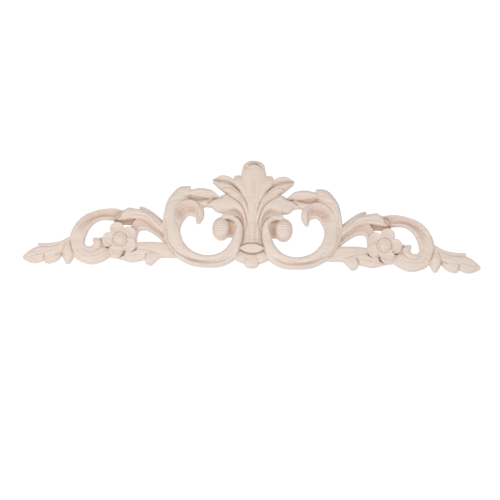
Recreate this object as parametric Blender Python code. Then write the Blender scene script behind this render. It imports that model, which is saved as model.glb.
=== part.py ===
"""Carved wood applique: a long openwork crest of scrolls, acanthus leaves and flowers, cut from one board.

The carving stands upright. X runs along its length, Z is up, and the flat glued back lies in the plane Y = 0, so
the relief rises towards -Y. The carving is drawn as a carver's pattern: every strip of it runs between two edges
through a few stations, and its section says how high it stands from edge to edge. The right half mirrors the left.
"""

import math

import bmesh
import bpy
import numpy as np

# Driving dimensions in millimetres. MM turns them into metres.
MM = 0.001
SCROLL_RISE = 12.5
LEAF_RISE = 11.5
FINIAL_RISE = 13.5
BRANCH_RISE = 10.0
FLOWER_RISE = 12.0
END_RISE = 8.5
RECESS_RISE = 4.5
SAWN_EXTRA = 3.0
BACK_STEP = 0.04
PALE_WOOD = (0.80, 0.67, 0.56, 1.0)

# Sections across a strip, from its first edge to its second: (share of the width, share of the rise).
MOULDED = [(0, 0.84), (0.13, 1.0), (0.33, 0.78), (0.55, 0.92), (0.82, 1.0), (1, 0.82)]
ROUNDED = [(0, 0.82), (0.2, 0.96), (0.4, 1.0), (0.6, 1.0), (0.8, 0.96), (1, 0.82)]
LEAF = [(0, 0.8), (0.25, 1.0), (0.7, 0.98), (1, 0.78)]
VEINED = [(0, 0.8), (0.26, 1.0), (0.5, 0.9), (0.74, 1.0), (1, 0.8)]
TROUGH = [(0, 0.84), (0.15, 1.0), (0.45, 0.76), (0.8, 0.82), (1, 0.92)]
SCOOP = [(0, 0.92), (0.13, 1.0), (0.35, 0.7), (0.7, 0.62), (1, 0.72)]
FLUTED = [(0, 0.84), (0.22, 0.98), (0.34, 0.86), (0.5, 1.0), (0.66, 0.86), (0.78, 0.98), (1, 0.84)]
LOBED = [(0, 0.8), (0.2, 0.96), (0.38, 1.0), (0.5, 0.9), (0.62, 1.0), (0.8, 0.96), (1, 0.8)]
LEVEL = [(0, 0.95), (1, 1.0)]


def even_rows(stations, steps):
    """Stations at even steps along a smooth curve through the given ones."""
    rows = np.array(stations, float)
    middles = (rows[:, 0:2] + rows[:, 2:4]) / 2
    knots = np.concatenate([[0.0], np.cumsum(np.linalg.norm(np.diff(middles, axis=0), axis=1))])
    slopes = np.gradient(rows, knots, axis=0)
    at = np.linspace(0.0, knots[-1], steps + 1)
    left = np.clip(np.searchsorted(knots, at, side="right") - 1, 0, len(knots) - 2)
    gap = (knots[left + 1] - knots[left])[:, None]
    t = (at[:, None] - knots[left][:, None]) / gap
    from_left = rows[left] * (2 * t**3 - 3 * t**2 + 1) + slopes[left] * gap * (t**3 - 2 * t**2 + t)
    from_right = rows[left + 1] * (3 * t**2 - 2 * t**3) + slopes[left + 1] * gap * (t**3 - t**2)
    return from_left + from_right


def section_at(sections, share):
    """The section at this share of a strip's length, blended from the sections spaced evenly along it."""
    place = share * (len(sections) - 1)
    first = min(int(place), len(sections) - 1)
    second = min(first + 1, len(sections) - 1)
    return np.array(sections[first]) * (1 - (place - first)) + np.array(sections[second]) * (place - first)


class Carving:
    """The overlapping solids that are joined into the one piece of wood."""

    def __init__(self):
        self.collection = bpy.data.collections.new("carved_strips")
        bpy.context.scene.collection.children.link(self.collection)

    def back(self):
        """Each solid runs a little deeper than the last, so that no two of their backs share a plane."""
        return (SAWN_EXTRA + BACK_STEP * len(self.collection.objects)) * MM

    def add(self, name, rings, crown=None):
        """A closed solid through rings of points. It ends in flat caps, or at the crown where there is one."""
        builder = bmesh.new()
        loops = [[builder.verts.new(point) for point in ring] for ring in rings]
        for near, far in zip(loops, loops[1:]):
            for i in range(len(near)):
                j = (i + 1) % len(near)
                builder.faces.new((near[i], near[j], far[j], far[i]))
        builder.faces.new(loops[0])
        if crown is None:
            builder.faces.new(loops[-1])
        else:
            top = builder.verts.new(crown)
            for i, vertex in enumerate(loops[-1]):
                builder.faces.new((vertex, loops[-1][(i + 1) % len(loops[-1])], top))
        bmesh.ops.triangulate(builder, faces=builder.faces)
        bmesh.ops.recalc_face_normals(builder, faces=builder.faces)
        if builder.calc_volume(signed=True) < 0:
            bmesh.ops.reverse_faces(builder, faces=builder.faces)
        mesh = bpy.data.meshes.new(name)
        builder.to_mesh(mesh)
        builder.free()
        solid = bpy.data.objects.new(name, mesh)
        solid.display_type = "WIRE"
        solid.hide_render = True
        self.collection.objects.link(solid)

    def strip(self, name, rise, stations, sections, steps, sides=(1, -1)):
        """A strip through stations of (x, z) on the first edge, (x, z) on the second, and share of the rise."""
        rows = even_rows(stations, steps)
        for side in sides:
            back = self.back()
            rings = []
            for number, (x1, z1, x2, z2, share) in enumerate(rows):
                ring = [(side * x1 * MM, back, z1 * MM)]
                for across, height in section_at(sections, number / steps):
                    x = side * (x1 + (x2 - x1) * across) * MM
                    ring.append((x, -rise * share * height * MM, (z1 + (z2 - z1) * across) * MM))
                ring.append((side * x2 * MM, back, z2 * MM))
                rings.append(ring)
            self.add(f"{name}_{side}", rings)

    def upright(self, name, rise, stations, sections, steps):
        """A strip up the middle, through stations of (height, half width, share of the rise)."""
        edges = [(-half, z, half, z, share) for z, half, share in stations]
        self.strip(name, rise, edges, sections, steps, sides=(1,))

    def boss(self, name, rise, centre, radii, profile, segments, turn=0.0, sides=(1, -1)):
        """A round or oval boss; its profile is (share of the radius, share of the rise), from rim to crown."""
        for side in sides:
            back = self.back()
            rings = []
            for share, height in [(profile[0][0], None)] + profile[:-1]:
                ring = []
                for k in range(segments):
                    angle = 2 * math.pi * k / segments
                    along, over = radii[0] * share * math.cos(angle), radii[1] * share * math.sin(angle)
                    x = centre[0] + along * math.cos(turn) - over * math.sin(turn)
                    z = centre[1] + along * math.sin(turn) + over * math.cos(turn)
                    y = back if height is None else -rise * height * MM
                    ring.append((side * x * MM, y, z * MM))
                rings.append(ring)
            crown = (side * centre[0] * MM, -rise * profile[-1][1] * MM, centre[1] * MM)
            self.add(f"{name}_{side}", rings, crown)


def carve_great_scroll(carving):
    """The great C-scroll, its ball, and the leaf that grows out of its upper end."""
    # From the tail that laps over the ball, round the bottom and the far side, to the top of the leaf.
    carving.strip("great_scroll", SCROLL_RISE, [
        (-29.0, -2.0, -28.3, -5.2, 0.74),
        (-19.0, -0.6, -19.8, -5.0, 0.92),
        (-10.2, -7.4, -14.5, -10.2, 1.0),
        (-8.3, -20.0, -15.2, -18.6, 1.0),
        (-14.0, -37.4, -21.4, -30.2, 1.0),
        (-33.0, -46.7, -34.4, -37.0, 1.0),
        (-55.0, -43.9, -50.4, -34.5, 1.0),
        (-71.5, -32.2, -60.2, -26.0, 1.0),
        (-78.6, -14.0, -65.6, -13.0, 0.98),
        (-77.8, 0.0, -69.8, -1.6, 0.92),
        (-73.4, 11.8, -63.5, 7.4, 0.92),
        (-63.4, 21.9, -57.0, 11.0, 0.9),
        (-54.6, 22.6, -53.2, 17.6, 0.8),
    ], [ROUNDED, MOULDED, MOULDED, MOULDED, ROUNDED, ROUNDED], 38)
    # The inner side curls over into a scoop that comes to a point in the open middle.
    carving.strip("inner_curl", SCROLL_RISE, [
        (-66.6, -27.5, -60.4, -24.5, 0.7),
        (-70.8, -12.5, -62.8, -15.0, 0.88),
        (-68.4, 1.6, -59.4, -5.0, 1.0),
        (-60.6, 9.0, -56.0, -1.4, 1.0),
        (-51.4, 9.2, -52.6, -1.4, 1.0),
        (-46.4, 2.6, -50.2, -2.6, 0.94),
        (-47.0, -7.4, -48.8, -7.2, 0.8),
    ], [SCOOP], 16)
    carving.strip("curl_hook", SCROLL_RISE, [
        (-51.0, 10.6, -51.5, 6.0, 0.8),
        (-43.8, 5.4, -48.0, 3.2, 0.86),
        (-42.9, -2.6, -47.4, -2.2, 0.8),
        (-47.8, -8.0, -48.8, -7.6, 0.7),
    ], [LEAF], 8)
    carving.strip("upper_flap", SCROLL_RISE, [
        (-64.0, 15.0, -62.5, 8.6, 0.7),
        (-52.5, 20.2, -51.5, 8.6, 0.9),
        (-43.0, 21.8, -42.0, 8.2, 0.92),
        (-35.4, 19.4, -36.6, 11.2, 0.88),
        (-30.8, 14.0, -31.4, 13.4, 0.76),
    ], [TROUGH], 10)
    carving.strip("flap_web", SCROLL_RISE, [
        (-51.0, 10.0, -47.0, 4.2, 0.72),
        (-44.0, 11.4, -41.2, 5.4, 0.72),
        (-36.0, 14.0, -36.4, 5.0, 0.64),
    ], [LEVEL], 5)
    carving.boss("volute_ball", SCROLL_RISE, (-26.6, -12.7), (8.3, 9.2), [
        (1.0, 0.74), (0.9, 0.93), (0.62, 1.07), (0, 1.13),
    ], 14)
    carving.strip("volute_hollow", RECESS_RISE, [
        (-27.0, -3.4, -26.0, -8.5, 1.0),
        (-18.0, -3.4, -22.0, -9.0, 1.0),
        (-13.0, -11.0, -21.0, -13.0, 1.0),
        (-14.5, -19.0, -21.0, -17.0, 1.0),
        (-18.6, -22.6, -23.5, -21.8, 1.0),
    ], [LEVEL], 8)


def carve_palmette(carving):
    """The middle: a tall lobe that narrows to a fluted stem, with an ear, a curled leaf and a low leaf each side."""
    carving.upright("stem_and_lobe", FINIAL_RISE, [
        (-31.0, 9.6, 0.72),
        (-18.0, 7.6, 0.74),
        (-6.0, 5.2, 0.74),
        (6.0, 4.6, 0.84),
        (19.0, 8.0, 0.94),
        (31.0, 11.2, 1.0),
        (39.5, 10.0, 1.0),
        (45.2, 7.4, 0.88),
        (47.9, 3.4, 0.76),
    ], [FLUTED, FLUTED, LOBED, LOBED], 18)
    carving.strip("ear", LEAF_RISE, [
        (-5.5, 6.0, -1.5, 8.0, 0.86),
        (-12.0, 20.0, -4.5, 23.5, 1.0),
        (-17.6, 29.2, -9.5, 32.0, 0.95),
        (-17.2, 33.4, -13.4, 33.8, 0.8),
    ], [LEAF], 7)
    carving.strip("turned_edge", LEAF_RISE, [
        (-9.5, 20.5, -8.5, 15.5, 0.78),
        (-15.5, 28.0, -14.0, 20.5, 0.92),
        (-21.5, 32.9, -20.5, 24.5, 0.95),
        (-28.5, 34.1, -27.5, 26.8, 0.9),
        (-35.8, 29.9, -35.2, 28.9, 0.7),
    ], [TROUGH], 9)
    carving.strip("curled_leaf", LEAF_RISE, [
        (-2.2, -10.0, -4.8, -12.0, 0.76),
        (-4.6, 5.4, -7.4, 2.4, 0.92),
        (-11.4, 17.8, -13.4, 11.2, 1.04),
        (-21.0, 25.6, -21.8, 17.2, 1.06),
        (-30.2, 28.4, -29.6, 22.2, 0.94),
        (-35.6, 29.6, -34.9, 28.3, 0.76),
    ], [LEAF], 13)
    carving.strip("low_leaf", LEAF_RISE, [
        (-3.8, -10.0, -7.6, -13.0, 0.68),
        (-7.0, 4.8, -10.8, -1.0, 0.78),
        (-15.5, 14.8, -16.5, 4.2, 0.86),
        (-24.2, 18.6, -24.0, 2.0, 0.84),
        (-31.0, 14.6, -31.2, 1.7, 0.76),
        (-38.5, 11.5, -37.0, 5.8, 0.66),
    ], [LEAF], 11)
    carving.strip("arched_leaf", LEAF_RISE, [
        (-26.4, 5.6, -26.6, -2.6, 0.66),
        (-18.0, 6.6, -19.0, -2.6, 0.68),
        (-10.4, 2.4, -13.2, -6.0, 0.68),
        (-7.0, -7.0, -10.0, -12.0, 0.68),
        (-6.4, -26.0, -10.6, -26.0, 0.66),
    ], [TROUGH], 10)
    carving.boss("collar", FINIAL_RISE, (0, -30.4), (10.6, 4.9), [
        (1.0, 0.86), (0.8, 0.97), (0, 1.04),
    ], 16, sides=(1,))


def carve_pendant(carving):
    """The small shell that hangs below the collar."""
    carving.upright("shell_middle", LEAF_RISE, [
        (-31.0, 4.5, 0.7),
        (-38.0, 5.8, 0.76),
        (-43.0, 5.8, 0.8),
        (-47.3, 2.4, 0.64),
    ], [VEINED], 7)
    carving.strip("shell_side", LEAF_RISE, [
        (-2.0, -31.0, -8.6, -31.0, 0.64),
        (-2.4, -39.0, -13.6, -35.6, 0.72),
        (-3.6, -43.0, -15.2, -39.0, 0.72),
        (-7.0, -43.6, -13.4, -41.0, 0.62),
    ], [LEAF], 6)


def carve_branch(carving):
    """The acanthus branch between the two scrolls: two leaves above, a stem with a drooping lobe below."""
    carving.strip("branch_leaf", BRANCH_RISE, [
        (-75.0, -14.0, -74.0, -23.0, 0.9),
        (-83.5, -5.2, -84.0, -13.0, 1.0),
        (-93.0, 1.0, -93.0, -7.0, 1.0),
        (-102.0, 2.2, -101.2, -5.6, 1.0),
        (-109.4, 2.4, -108.4, -6.8, 1.02),
        (-114.4, -0.8, -113.2, -7.6, 0.96),
        (-117.8, -5.0, -117.2, -7.8, 0.84),
    ], [MOULDED], 13)
    carving.strip("branch_spur", BRANCH_RISE, [
        (-79.5, -8.0, -80.5, -11.0, 0.7),
        (-86.5, -1.2, -87.5, -5.0, 0.8),
        (-94.5, 4.0, -95.0, 0.0, 0.76),
        (-98.8, 5.2, -98.8, 1.0, 0.68),
    ], [LEAF], 6)
    carving.strip("branch_underleaf", BRANCH_RISE, [
        (-73.5, -19.5, -72.5, -29.5, 0.7),
        (-83.0, -12.5, -83.4, -20.2, 0.74),
        (-93.0, -6.4, -93.0, -15.2, 0.76),
        (-100.5, -5.6, -98.0, -15.9, 0.76),
        (-106.0, -12.0, -99.8, -20.2, 0.7),
        (-106.4, -29.0, -99.8, -30.0, 0.66),
    ], [TROUGH], 12)
    carving.strip("lower_stem", BRANCH_RISE, [
        (-71.0, -27.0, -71.0, -33.6, 0.84),
        (-79.0, -27.3, -78.0, -38.0, 0.86),
        (-92.5, -27.1, -94.0, -40.6, 0.84),
        (-104.0, -28.4, -105.6, -43.2, 0.8),
        (-117.0, -29.6, -117.6, -41.6, 0.72),
        (-127.5, -31.0, -126.5, -39.6, 0.64),
    ], [TROUGH], 11)
    carving.strip("drooping_lobe", BRANCH_RISE, [
        (-76.0, -35.2, -79.0, -31.5, 0.7),
        (-82.4, -38.6, -88.0, -34.5, 0.9),
        (-85.4, -44.2, -93.4, -39.6, 0.94),
        (-88.4, -46.9, -91.8, -45.0, 0.74),
    ], [LEAF], 7)
    carving.strip("branch_recess", RECESS_RISE, [
        (-102.0, -4.0, -102.6, -12.4, 1.0),
        (-112.0, -3.0, -112.6, -12.2, 1.0),
        (-121.4, -2.0, -120.6, -13.5, 1.0),
    ], [LEVEL], 4)


def carve_flower(carving):
    """The five-petalled flower that lies over the branch."""
    centre = (-115.2, -25.6)
    petal_reach = 9.7
    petal_radii = (5.0, 5.8)
    carving.boss("petal_bed", FLOWER_RISE, centre, (9.5, 9.5), [(1.0, 0.5), (0, 0.6)], 10)
    for number, degrees in enumerate((109, 43, -28, -110, 181)):
        turn = math.radians(degrees)
        middle = (centre[0] + petal_reach * math.cos(turn), centre[1] + petal_reach * math.sin(turn))
        carving.boss(f"petal_{number}", FLOWER_RISE, middle, petal_radii, [
            (1.0, 0.82), (0.86, 0.95), (0, 0.74),
        ], 10, turn=turn)
    carving.boss("flower_eye", FLOWER_RISE, centre, (6.2, 6.2), [
        (1.0, 0.78), (0.82, 0.82), (0.74, 0.98), (0, 1.06),
    ], 12)


def carve_small_scroll(carving):
    """The small C-scroll, from under the branch leaf round to the hook beside the flower."""
    carving.strip("small_scroll", BRANCH_RISE, [
        (-110.0, -1.4, -110.0, -6.0, 0.6),
        (-119.0, 1.0, -119.0, -7.0, 0.8),
        (-131.5, 0.4, -130.5, -6.7, 0.92),
        (-145.0, -5.4, -138.8, -11.0, 0.98),
        (-154.4, -15.6, -144.2, -19.8, 1.0),
        (-158.4, -28.0, -145.6, -28.6, 1.0),
        (-152.8, -41.6, -142.4, -32.6, 1.0),
        (-140.4, -46.2, -138.4, -32.4, 1.0),
        (-130.0, -43.6, -132.6, -32.2, 0.9),
        (-122.0, -38.0, -126.0, -31.0, 0.7),
    ], [ROUNDED, MOULDED, MOULDED, MOULDED, ROUNDED], 22)
    carving.strip("small_hook", BRANCH_RISE, [
        (-148.6, -33.0, -144.4, -30.8, 0.8),
        (-142.0, -37.6, -141.0, -32.6, 1.04),
        (-133.6, -34.6, -137.6, -30.0, 1.06),
        (-131.2, -27.4, -137.4, -27.0, 1.04),
        (-136.4, -23.2, -138.4, -24.4, 0.88),
    ], [LEAF], 9)
    carving.strip("hook_web", BRANCH_RISE, [
        (-133.0, -24.0, -133.5, -36.0, 0.64),
        (-120.0, -23.4, -120.0, -36.0, 0.6),
    ], [LEVEL], 3)


def carve_end_leaf(carving):
    """The lobed leaf at the end of each arm."""
    carving.strip("end_blade", END_RISE, [
        (-154.0, -23.6, -154.0, -36.0, 0.96),
        (-165.0, -28.6, -166.0, -36.8, 1.05),
        (-178.0, -32.2, -177.5, -41.5, 0.96),
        (-187.0, -33.4, -185.6, -46.0, 0.9),
        (-195.4, -38.4, -194.8, -45.4, 0.72),
        (-199.4, -41.6, -199.0, -43.8, 0.52),
    ], [VEINED], 12)
    carving.strip("end_spur", END_RISE, [
        (-156.0, -22.6, -156.6, -28.0, 0.92),
        (-170.0, -29.2, -170.4, -33.6, 0.94),
        (-179.0, -30.2, -179.0, -34.4, 0.84),
        (-186.0, -30.1, -186.2, -33.8, 0.7),
    ], [LEAF], 7)
    carving.strip("end_lobe", END_RISE, [
        (-166.5, -32.6, -164.0, -35.6, 0.9),
        (-174.0, -36.6, -168.0, -41.0, 0.98),
        (-180.3, -43.0, -172.4, -45.6, 0.9),
        (-178.9, -46.3, -176.0, -46.9, 0.68),
    ], [LEAF], 7)
    carving.strip("end_drop", END_RISE, [
        (-162.6, -29.0, -156.8, -27.0, 0.92),
        (-165.0, -38.0, -155.0, -37.0, 1.08),
        (-163.2, -44.6, -155.8, -43.8, 0.95),
        (-160.6, -46.9, -159.2, -46.9, 0.7),
    ], [LEAF], 7)


def wood_material():
    material = bpy.data.materials.new("pale_bare_wood")
    material.use_nodes = True
    shader = material.node_tree.nodes["Principled BSDF"]
    shader.inputs["Base Color"].default_value = PALE_WOOD
    shader.inputs["Roughness"].default_value = 0.75
    shader.inputs["Metallic"].default_value = 0.0
    return material


def join_and_plane(carving):
    """One solid from all the strips, with its back planed flat at Y = 0."""
    first = carving.collection.objects[0]
    applique = bpy.data.objects.new("carved_applique", first.data)
    bpy.context.scene.collection.objects.link(applique)
    bpy.data.objects.remove(first)
    union = applique.modifiers.new("join_strips", "BOOLEAN")
    union.operation = "UNION"
    union.operand_type = "COLLECTION"
    union.collection = carving.collection
    union.solver = "MANIFOLD"
    bpy.ops.mesh.primitive_cube_add(size=1, location=(0, 0.05, 0), scale=(0.5, 0.1, 0.2))
    waste = bpy.context.object
    waste.name = "waste_behind_the_back"
    waste.display_type = "WIRE"
    waste.hide_render = True
    plane = applique.modifiers.new("plane_back", "BOOLEAN")
    plane.operation = "DIFFERENCE"
    plane.object = waste
    plane.solver = "EXACT"
    applique.data.materials.append(wood_material())


def main():
    for existing in list(bpy.data.objects):
        bpy.data.objects.remove(existing)
    carving = Carving()
    carve_great_scroll(carving)
    carve_palmette(carving)
    carve_pendant(carving)
    carve_branch(carving)
    carve_flower(carving)
    carve_small_scroll(carving)
    carve_end_leaf(carving)
    join_and_plane(carving)


main()
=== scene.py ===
"""Carved wood applique, dressed for the camera.

A crest of scrolls, acanthus leaves and flowers, cut from one board of pale wood and left bare, with a flat
back to glue to furniture. The carving's lengths are in millimetres, and MM turns them into metres. The
light, the floor and the camera are in metres.
"""

import math

import bmesh
import bpy
import numpy as np
from mathutils import Matrix, Vector


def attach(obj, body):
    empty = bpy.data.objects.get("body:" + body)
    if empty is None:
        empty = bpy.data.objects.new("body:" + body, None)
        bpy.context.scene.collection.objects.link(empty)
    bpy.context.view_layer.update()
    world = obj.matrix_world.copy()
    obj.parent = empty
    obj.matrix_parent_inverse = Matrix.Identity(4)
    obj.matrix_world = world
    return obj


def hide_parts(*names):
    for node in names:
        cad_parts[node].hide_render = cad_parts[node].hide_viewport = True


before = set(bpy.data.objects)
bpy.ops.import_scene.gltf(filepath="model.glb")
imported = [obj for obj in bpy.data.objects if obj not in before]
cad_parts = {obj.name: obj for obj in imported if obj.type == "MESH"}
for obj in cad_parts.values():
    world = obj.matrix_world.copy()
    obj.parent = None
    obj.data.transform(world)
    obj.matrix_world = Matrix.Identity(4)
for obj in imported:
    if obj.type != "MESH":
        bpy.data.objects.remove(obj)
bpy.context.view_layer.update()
bpy.ops.object.select_all(action="DESELECT")

# Great scrolls, one each side of the middle.
# Each is a moulded band that winds from its ball round an open middle to a leaf that turns over into a curl.
# They are sawn out of the board with the rest, then hollowed and moulded with gouges.
MM = 0.001
SCROLL_RISE = 12.5
BEHIND_BACK = 0.7
STEP_ALONG = 0.9
FEWEST_STEPS = 4
POINTS_ACROSS = 23
TIP_STEP = 12
BOSS_SIDES = 56
BOSS_LEVELS = 17
CUT_STEP = 0.8
FEWEST_CUT_STEPS = 3
# Each section runs from one edge to the other, as (share of the width, share of the rise).
BAND = [(0, 0.78), (0.1, 0.92), (0.22, 0.97), (0.4, 1.0), (0.7, 1.0), (0.88, 0.96), (1, 0.84)]
MOULDED = [
    (0, 0.76), (0.05, 0.86), (0.11, 0.88), (0.22, 0.82), (0.32, 0.79), (0.39, 0.81), (0.46, 0.92),
    (0.56, 0.97), (0.74, 1.0), (0.9, 0.96), (1, 0.82),
]
SHOULDER = [
    (0, 0.8), (0.07, 0.88), (0.16, 0.89), (0.28, 0.87), (0.38, 0.92), (0.5, 0.98), (0.8, 0.99),
    (1, 0.95),
]
ROLLED = [(0, 0.7), (0.08, 0.86), (0.2, 0.95), (0.4, 0.99), (0.6, 0.99), (0.8, 0.95), (1, 0.86)]
TURNING_OVER = [(0, 0.7), (0.1, 0.86), (0.25, 0.95), (0.45, 0.97), (0.65, 0.9), (0.85, 0.76), (1, 0.64)]
FLANK = [(0, 0.96), (0.35, 0.96), (0.65, 0.94), (0.85, 0.88), (1, 0.76)]
OPENING_OUT = [
    (0, 0.93), (0.12, 0.95), (0.24, 0.96), (0.38, 0.91), (0.6, 0.81), (0.82, 0.75), (1, 0.65),
]
SPOON = [
    (0, 0.86), (0.09, 0.98), (0.16, 1.0), (0.22, 0.82), (0.31, 0.6), (0.44, 0.49), (0.62, 0.46),
    (0.8, 0.5), (0.93, 0.55), (1, 0.48),
]
HOOKED = [(0, 0.84), (0.2, 0.98), (0.34, 0.98), (0.5, 0.8), (0.75, 0.64), (1, 0.58)]
HOOK_SIDE = [(0, 0.62), (0.15, 0.78), (0.5, 0.9), (0.82, 0.99), (1, 0.96)]
FLAP = [
    (0, 0.76), (0.07, 0.9), (0.16, 0.97), (0.27, 0.96), (0.4, 0.86), (0.53, 0.72), (0.66, 0.58),
    (0.78, 0.5), (0.85, 0.54), (0.91, 0.74), (0.96, 0.86), (1, 0.84),
]
RIDGED = [(0, 0.94), (0.2, 1.0), (0.5, 0.95), (1, 0.84)]

carved_strips = []
tool_cuts = []


def smooth_through(rows, knots, at):
    """Values at these places on a smooth curve through the rows."""
    slopes = np.gradient(rows, knots, axis=0)
    left = np.clip(np.searchsorted(knots, at, side="right") - 1, 0, len(knots) - 2)
    gap = (knots[left + 1] - knots[left])[:, None]
    t = (at[:, None] - knots[left][:, None]) / gap
    from_left = rows[left] * (2 * t**3 - 3 * t**2 + 1) + slopes[left] * gap * (t**3 - 2 * t**2 + t)
    from_right = rows[left + 1] * (3 * t**2 - 2 * t**3) + slopes[left + 1] * gap * (t**3 - t**2)
    return from_left + from_right


def distance_along(points):
    """How far each point lies along the line through them."""
    return np.concatenate([[0.0], np.cumsum(np.linalg.norm(np.diff(points, axis=0), axis=1))])


def add_solid(name, rings, crown=None):
    """A closed solid through rings of points in millimetres, ending in a flat cap or at its crown."""
    builder = bmesh.new()
    loops = [[builder.verts.new(Vector(point) * MM) for point in ring] for ring in rings]
    for near, far in zip(loops, loops[1:]):
        for i in range(len(near)):
            j = (i + 1) % len(near)
            builder.faces.new((near[i], near[j], far[j], far[i]))
    builder.faces.new(loops[0])
    if crown is None:
        builder.faces.new(loops[-1])
    else:
        top = builder.verts.new(Vector(crown) * MM)
        for i, corner in enumerate(loops[-1]):
            builder.faces.new((corner, loops[-1][(i + 1) % len(loops[-1])], top))
    bmesh.ops.triangulate(builder, faces=builder.faces)
    bmesh.ops.recalc_face_normals(builder, faces=builder.faces)
    if builder.calc_volume(signed=True) < 0:
        bmesh.ops.reverse_faces(builder, faces=builder.faces)
    mesh = bpy.data.meshes.new(name)
    builder.to_mesh(mesh)
    builder.free()
    solid = bpy.data.objects.new(name, mesh)
    bpy.context.scene.collection.objects.link(solid)
    carved_strips.append(solid)


def carve_strip(name, rise, stations, sections, sides=(1, -1), tip=0.0):
    """A carved strip, on these sides of the middle.

    A station is x and z on one edge, x and z on the other, and its share of the rise. The sections are
    given as (share of the length, section). A tip is how far a rounded end reaches past the last station.
    """
    stations = np.array(stations, float)
    knots = distance_along((stations[:, 0:2] + stations[:, 2:4]) / 2)
    steps = max(FEWEST_STEPS, round(knots[-1] / STEP_ALONG))
    edges = smooth_through(stations, knots, np.linspace(0, knots[-1], steps + 1))
    rows = [(*edge, step / steps, 0.0) for step, edge in enumerate(edges)]
    if tip:
        near, far, share = edges[-1][0:2], edges[-1][2:4], edges[-1][4]
        ahead = near + far - edges[-2][0:2] - edges[-2][2:4]
        ahead = ahead / np.linalg.norm(ahead)
        for turn in np.radians(np.arange(TIP_STEP, 90, TIP_STEP)):
            middle = (near + far) / 2 + ahead * tip * math.sin(turn)
            half = (far - near) / 2 * math.cos(turn)
            rows.append((*(middle - half), *(middle + half), share, 1.0, math.sin(turn)))
    across = np.linspace(0, 1, POINTS_ACROSS)
    places = [place for place, _ in sections]
    shapes = []
    for _, section in sections:
        section = np.array(section, float)
        shapes.append(smooth_through(section[:, 1:], section[:, 0], across)[:, 0])
    shapes = np.array(shapes)
    for side in sides:
        rings = []
        for x1, z1, x2, z2, share, place, rounding in rows:
            section = np.array([np.interp(place, places, heights) for heights in shapes.T])
            if rounding:
                outwards = np.hypot(rounding, (2 * across - 1) * math.sqrt(1 - rounding**2))
                far_side = np.clip(0.5 + (across - 0.5) / rounding, 0, 1)
                near_heights = np.interp((1 - outwards) / 2, across, section)
                far_heights = np.interp((1 + outwards) / 2, across, section)
                section = (1 - far_side) * near_heights + far_side * far_heights
            ring = [(side * x1, BEHIND_BACK, z1)]
            for u, height in zip(across, section):
                ring.append((side * (x1 + (x2 - x1) * u), -rise * share * height, z1 + (z2 - z1) * u))
            ring.append((side * x2, BEHIND_BACK, z2))
            rings.append(ring)
        add_solid(f"{name}_{side}", rings)


def carve_boss(name, rise, centre, radii, profile, turn=0.0, pointed=1.0, sides=(1, -1)):
    """A round, oval or pointed boss.

    Its profile runs from the rim to the crown, as (share of the radius, share of the rise).
    """
    profile = np.array(profile, float)
    levels = smooth_through(profile, np.linspace(0, 1, len(profile)), np.linspace(0, 1, BOSS_LEVELS))
    for side in sides:
        rings = []
        for share, height in [(levels[0][0], -BEHIND_BACK / rise), *levels[:-1]]:
            ring = []
            for k in range(BOSS_SIDES):
                angle = 2 * math.pi * k / BOSS_SIDES
                sine = math.sin(angle)
                along = radii[0] * share * math.cos(angle)
                over = radii[1] * share * math.copysign(abs(sine) ** pointed, sine)
                x = centre[0] + along * math.cos(turn) - over * math.sin(turn)
                z = centre[1] + along * math.sin(turn) + over * math.cos(turn)
                ring.append((side * x, -rise * height, z))
            rings.append(ring)
        add_solid(f"{name}_{side}", rings, (side * centre[0], -rise * levels[-1][1], centre[1]))


def cut_line(depth, width, points, sides=(1, -1)):
    """A tool cut along a smooth line that fades out at both ends. A depth below zero leaves a ridge."""
    points = np.array(points, float)
    knots = distance_along(points)
    steps = max(FEWEST_CUT_STEPS, round(knots[-1] / CUT_STEP))
    line = smooth_through(points, knots, np.linspace(0, knots[-1], steps + 1))
    for side in sides:
        tool_cuts.append((line * (side, 1), width, depth))


carve_strip("great_scroll", SCROLL_RISE, [
    (-27.6, -2.4, -27.0, -5.6, 0.76),
    (-19.0, -0.6, -19.8, -5.0, 0.92),
    (-10.2, -7.4, -14.5, -10.2, 1.0),
    (-8.3, -20.0, -16.4, -19.4, 1.0),
    (-14.1, -38.8, -21.0, -29.7, 1.0),
    (-23.4, -45.1, -26.4, -35.1, 1.0),
    (-39.0, -47.2, -38.4, -38.5, 1.0),
    (-55.4, -44.6, -51.0, -35.2, 1.0),
    (-71.6, -32.8, -60.4, -26.2, 1.0),
    (-78.2, -14.0, -65.6, -13.0, 0.98),
    (-77.2, 0.0, -69.8, -1.6, 0.95),
    (-73.6, 12.4, -63.5, 7.4, 0.95),
    (-63.6, 23.1, -57.0, 11.0, 0.92),
    (-55.0, 24.0, -53.2, 17.6, 0.82),
], [
    (0, ROLLED), (0.12, BAND), (0.24, BAND), (0.34, MOULDED), (0.54, MOULDED), (0.64, SHOULDER),
    (0.76, SHOULDER), (0.83, ROLLED), (0.9, ROLLED), (1, TURNING_OVER),
])
carve_strip("curl", SCROLL_RISE, [
    (-60.6, -33.6, -56.4, -30.4, 0.8),
    (-66.8, -25.5, -60.6, -24.6, 0.95),
    (-71.2, -14.0, -62.8, -14.0, 0.99),
    (-70.6, 1.6, -59.6, -5.2, 1.0),
    (-60.6, 10.6, -56.0, -1.4, 1.0),
    (-50.8, 10.2, -52.6, -1.4, 1.0),
    (-45.8, 3.2, -50.2, -2.6, 0.95),
    (-46.4, -6.4, -49.2, -6.6, 0.84),
], [
    (0, FLANK), (0.3, FLANK), (0.46, OPENING_OUT), (0.58, SPOON), (0.8, SPOON), (0.92, HOOKED), (1, HOOKED),
], tip=1.8)
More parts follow.
